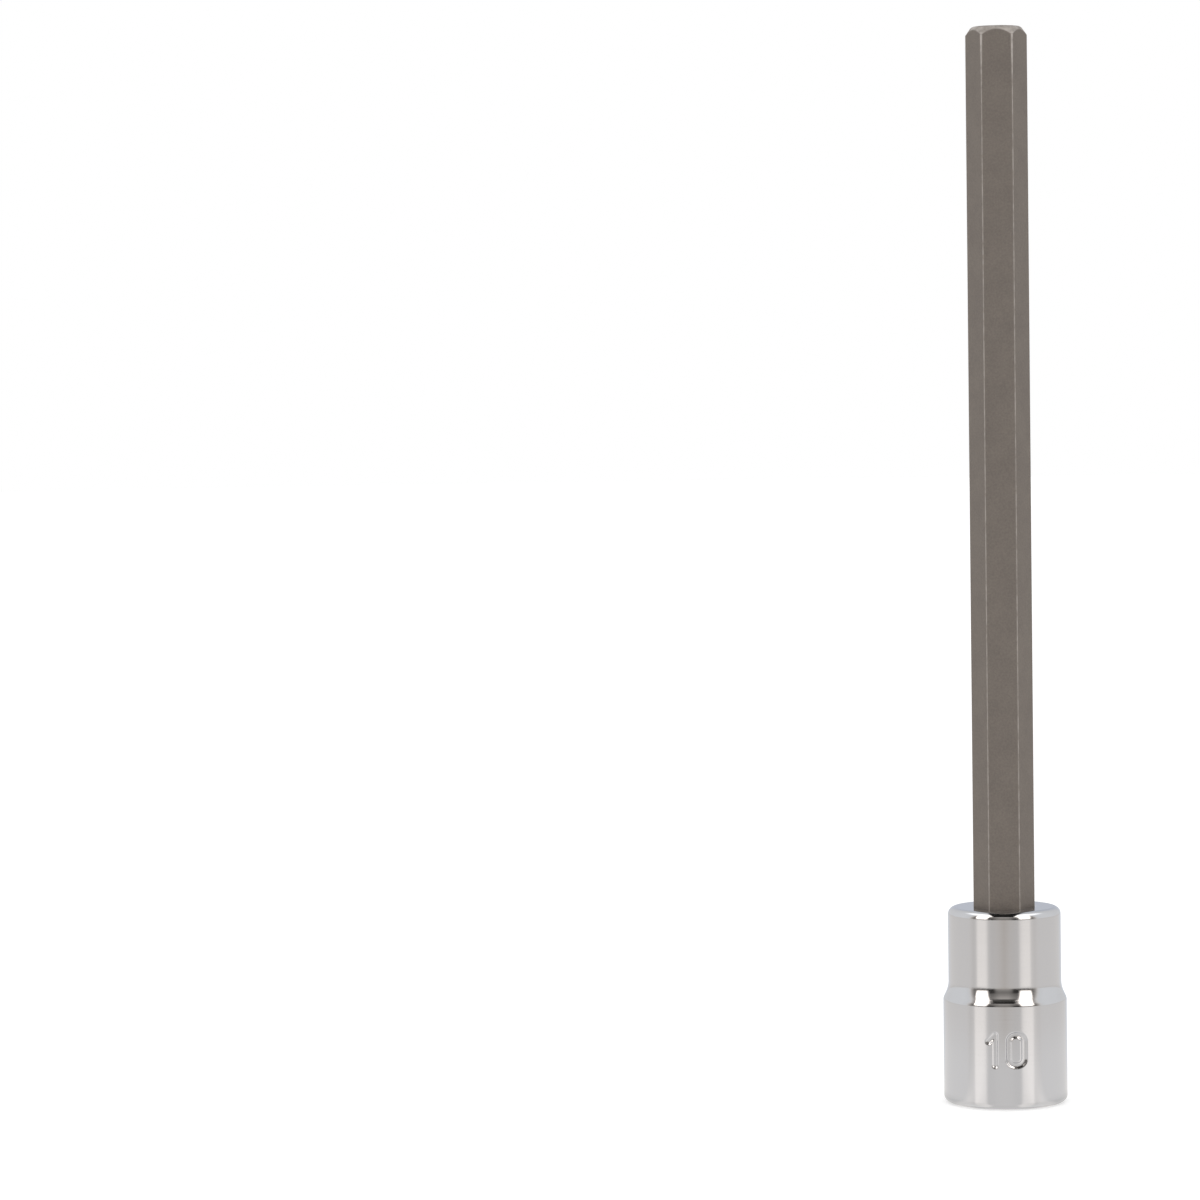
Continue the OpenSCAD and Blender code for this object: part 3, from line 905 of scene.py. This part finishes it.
class MESH_OT_socket_bit(bpy.types.Operator):
    """Adds the blasted hex bit"""

    bl_idname = "mesh.socket_bit"
    bl_label = "Hex Bit"

    def execute(self, context):
        scene = context.scene
        material = blasted_steel(scene.finishes)
        dress(make_bit(scene.bit_sizes), material, "bit", "hex_bit")
        return {"FINISHED"}


class MESH_OT_socket_ring(bpy.types.Operator):
    """Adds the spring ring that holds the bit"""

    bl_idname = "mesh.socket_ring"
    bl_label = "Spring Ring"

    def execute(self, context):
        scene = context.scene
        material = spring_wire(scene.finishes)
        dress(make_ring(scene.ring_sizes), material, "bit", "retaining_ring")
        return {"FINISHED"}


class SCENE_OT_socket_stage(bpy.types.Operator):
    """Adds the floor, the studio's light and the camera"""

    bl_idname = "scene.socket_stage"
    bl_label = "Stage"

    def execute(self, context):
        scene = context.scene
        make_floor(scene.stage_sizes, scene.finishes)
        light_room(scene.stage_sizes, scene.finishes)
        make_camera(scene.stage_sizes)
        scene.view_settings.view_transform = "Standard"
        return {"FINISHED"}


class VIEW3D_PT_hex_bit_socket(bpy.types.Panel):
    """Lists the socket's pieces and their sizes"""

    bl_label = "Hex Bit Socket"
    bl_space_type = "VIEW_3D"
    bl_region_type = "UI"
    bl_category = "Socket"

    def draw(self, context):
        for operator in OPERATORS:
            self.layout.operator(operator.bl_idname)
        for name in SETTINGS:
            box = self.layout.box()
            group = getattr(context.scene, name)
            for key in group.__annotations__:
                box.prop(group, key)


SETTINGS = {
    "body_sizes": BodySizes,
    "mark_sizes": MarkSizes,
    "bit_sizes": BitSizes,
    "ring_sizes": RingSizes,
    "finishes": Finishes,
    "stage_sizes": StageSizes,
}
OPERATORS = (MESH_OT_socket_body, MESH_OT_socket_bit, MESH_OT_socket_ring, SCENE_OT_socket_stage)
CLASSES = (*SETTINGS.values(), *OPERATORS, VIEW3D_PT_hex_bit_socket)


def register():
    for cls in CLASSES:
        bpy.utils.register_class(cls)
    for name, group in SETTINGS.items():
        setattr(bpy.types.Scene, name, PointerProperty(type=group))


def unregister():
    for name in SETTINGS:
        delattr(bpy.types.Scene, name)
    for cls in reversed(CLASSES):
        bpy.utils.unregister_class(cls)


def main():
    register()
    bpy.ops.mesh.socket_body()
    bpy.ops.mesh.socket_bit()
    bpy.ops.mesh.socket_ring()
    bpy.ops.scene.socket_stage()


if __name__ == "__main__":
    main()
